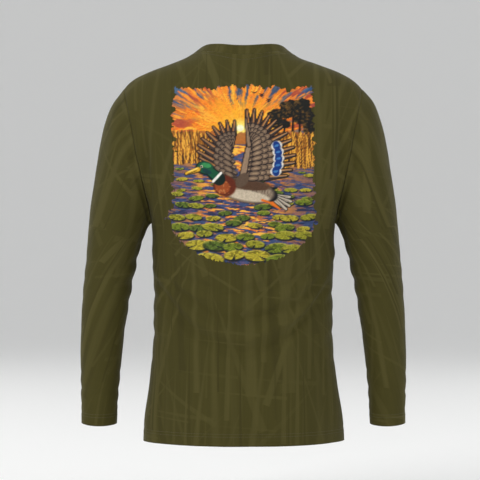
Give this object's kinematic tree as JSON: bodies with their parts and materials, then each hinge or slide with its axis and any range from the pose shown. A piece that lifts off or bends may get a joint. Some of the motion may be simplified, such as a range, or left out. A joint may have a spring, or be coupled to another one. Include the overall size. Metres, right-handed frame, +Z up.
{
  "type": "long-sleeve shirt",
  "caption": "Long-sleeve crew-neck shirt in faint reed camouflage with a marsh scene printed on the back. Not a decoy: its only duck is printed artwork.",
  "frame": {"origin": "centre of the neck opening, level with the high points of the shoulders", "axes": "+Z up, +Y out of the wearer's chest, +X to the wearer's right; the printed back faces -Y"},
  "size_m": [0.611, 0.2623, 0.7406],
  "materials": {
    "jersey": "matte knit with tonal camouflage",
    "thread": "satin sewing thread",
    "tape": "matte woven tape",
    "label": "blank satin ribbon",
    "ink": "matte printed ink in several colours"
  },
  "bodies": {
    "torso": {"back_panel": "jersey", "front_panel": "jersey", "neckband": "jersey", "neck_tape": "tape", "care_label": "label", "left_side_seam": "thread", "right_side_seam": "thread", "left_shoulder_seam": "thread", "right_shoulder_seam": "thread", "left_armhole_seam": "thread", "right_armhole_seam": "thread", "hem_stitching": "thread", "neck_stitching": "thread", "back_print": "ink"},
    "sleeve_left": {"left_sleeve": "jersey", "left_underarm_seam": "thread", "left_cuff_stitching": "thread"},
    "sleeve_right": {"right_sleeve": "jersey", "right_underarm_seam": "thread", "right_cuff_stitching": "thread"}
  },
  "joints": [
    {"name": "left_sleeve_swing", "type": "hinge", "parent": "torso", "child": "sleeve_left", "pos_m": [-0.222, 0, -0.0636], "axis": [0, 1, 0], "range_deg": [0, 45]},
    {"name": "right_sleeve_swing", "type": "hinge", "parent": "torso", "child": "sleeve_right", "pos_m": [0.222, 0, -0.0636], "axis": [0, -1, 0], "range_deg": [0, 45]}
  ]
}
